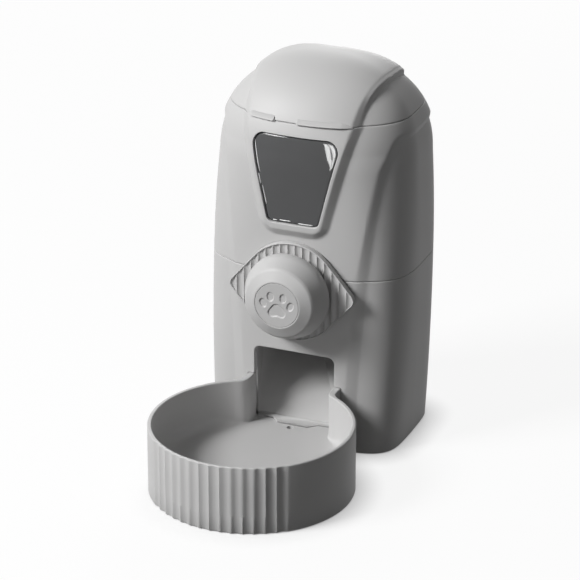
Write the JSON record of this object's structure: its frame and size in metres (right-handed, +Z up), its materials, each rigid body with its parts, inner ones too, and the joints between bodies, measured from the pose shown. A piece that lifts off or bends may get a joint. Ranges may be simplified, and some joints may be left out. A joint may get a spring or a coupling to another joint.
{
  "type": "gravity pet feeder",
  "caption": "Gravity pet feeder with domed flip lid, smoked window, hand knob and eye-shaped plate that clamp it to cage bars, and a round fluted bowl plugged into the outlet.",
  "frame": {"origin": "on the floor, under the body, 35 mm behind its front face, at the mount base_rest", "axes": "+Z up, -Y towards the bowl at the front, +X to the right of someone facing the knob"},
  "size_m": [0.1358, 0.2291, 0.2503],
  "materials": {
    "grey_plastic": "fine matte",
    "inner_plastic": "satin",
    "smoked_pane": "clear smoked",
    "seal_rubber": "soft matte",
    "white_nylon": "satin",
    "steel": "zinc plated",
    "brass": "turned"
  },
  "bodies": {
    "housing": {"upper_shell": "grey_plastic", "lower_shell": "grey_plastic", "window_pane": "smoked_pane", "hopper_funnel": "inner_plastic", "chute_ramp": "inner_plastic", "base_cover": "inner_plastic", "base_screws": "steel", "seam_screws": "steel", "clamp_stud": "steel", "stud_nut": "steel", "stud_washer": "steel", "hinge_pins": "steel"},
    "lid": {"lid_shell": "grey_plastic", "lid_seal": "seal_rubber"},
    "clamp": {"clamp_plate": "grey_plastic"},
    "knob": {"knob_body": "grey_plastic", "knob_insert": "brass", "knob_washer": "white_nylon", "knob_cap": "grey_plastic"},
    "dish": {"bowl": "grey_plastic"}
  },
  "joints": [
    {"name": "lid_hinge", "type": "hinge", "parent": "housing", "child": "lid", "pos_m": [0, 0.05852, 0.2193], "axis": [-1, 0, 0], "range_deg": [0, 100]},
    {"name": "clamp_slide", "type": "slide", "parent": "housing", "child": "clamp", "axis": [0, -1, 0], "range_m": [0, 0.01]},
    {"name": "knob_turn", "type": "hinge", "parent": "clamp", "child": "knob", "pos_m": [0, -0.05, 0.1079], "axis": [0, -1, 0], "range_deg": [0, 2880]},
    {"name": "bowl_pull", "type": "slide", "parent": "housing", "child": "dish", "axis": [0, -1, 0], "range_m": [0, 0.06]}
  ],
  "couplings": [
    {"joint": "knob_turn", "follows": "clamp_slide", "rad_per_m": 5026.5}
  ]
}
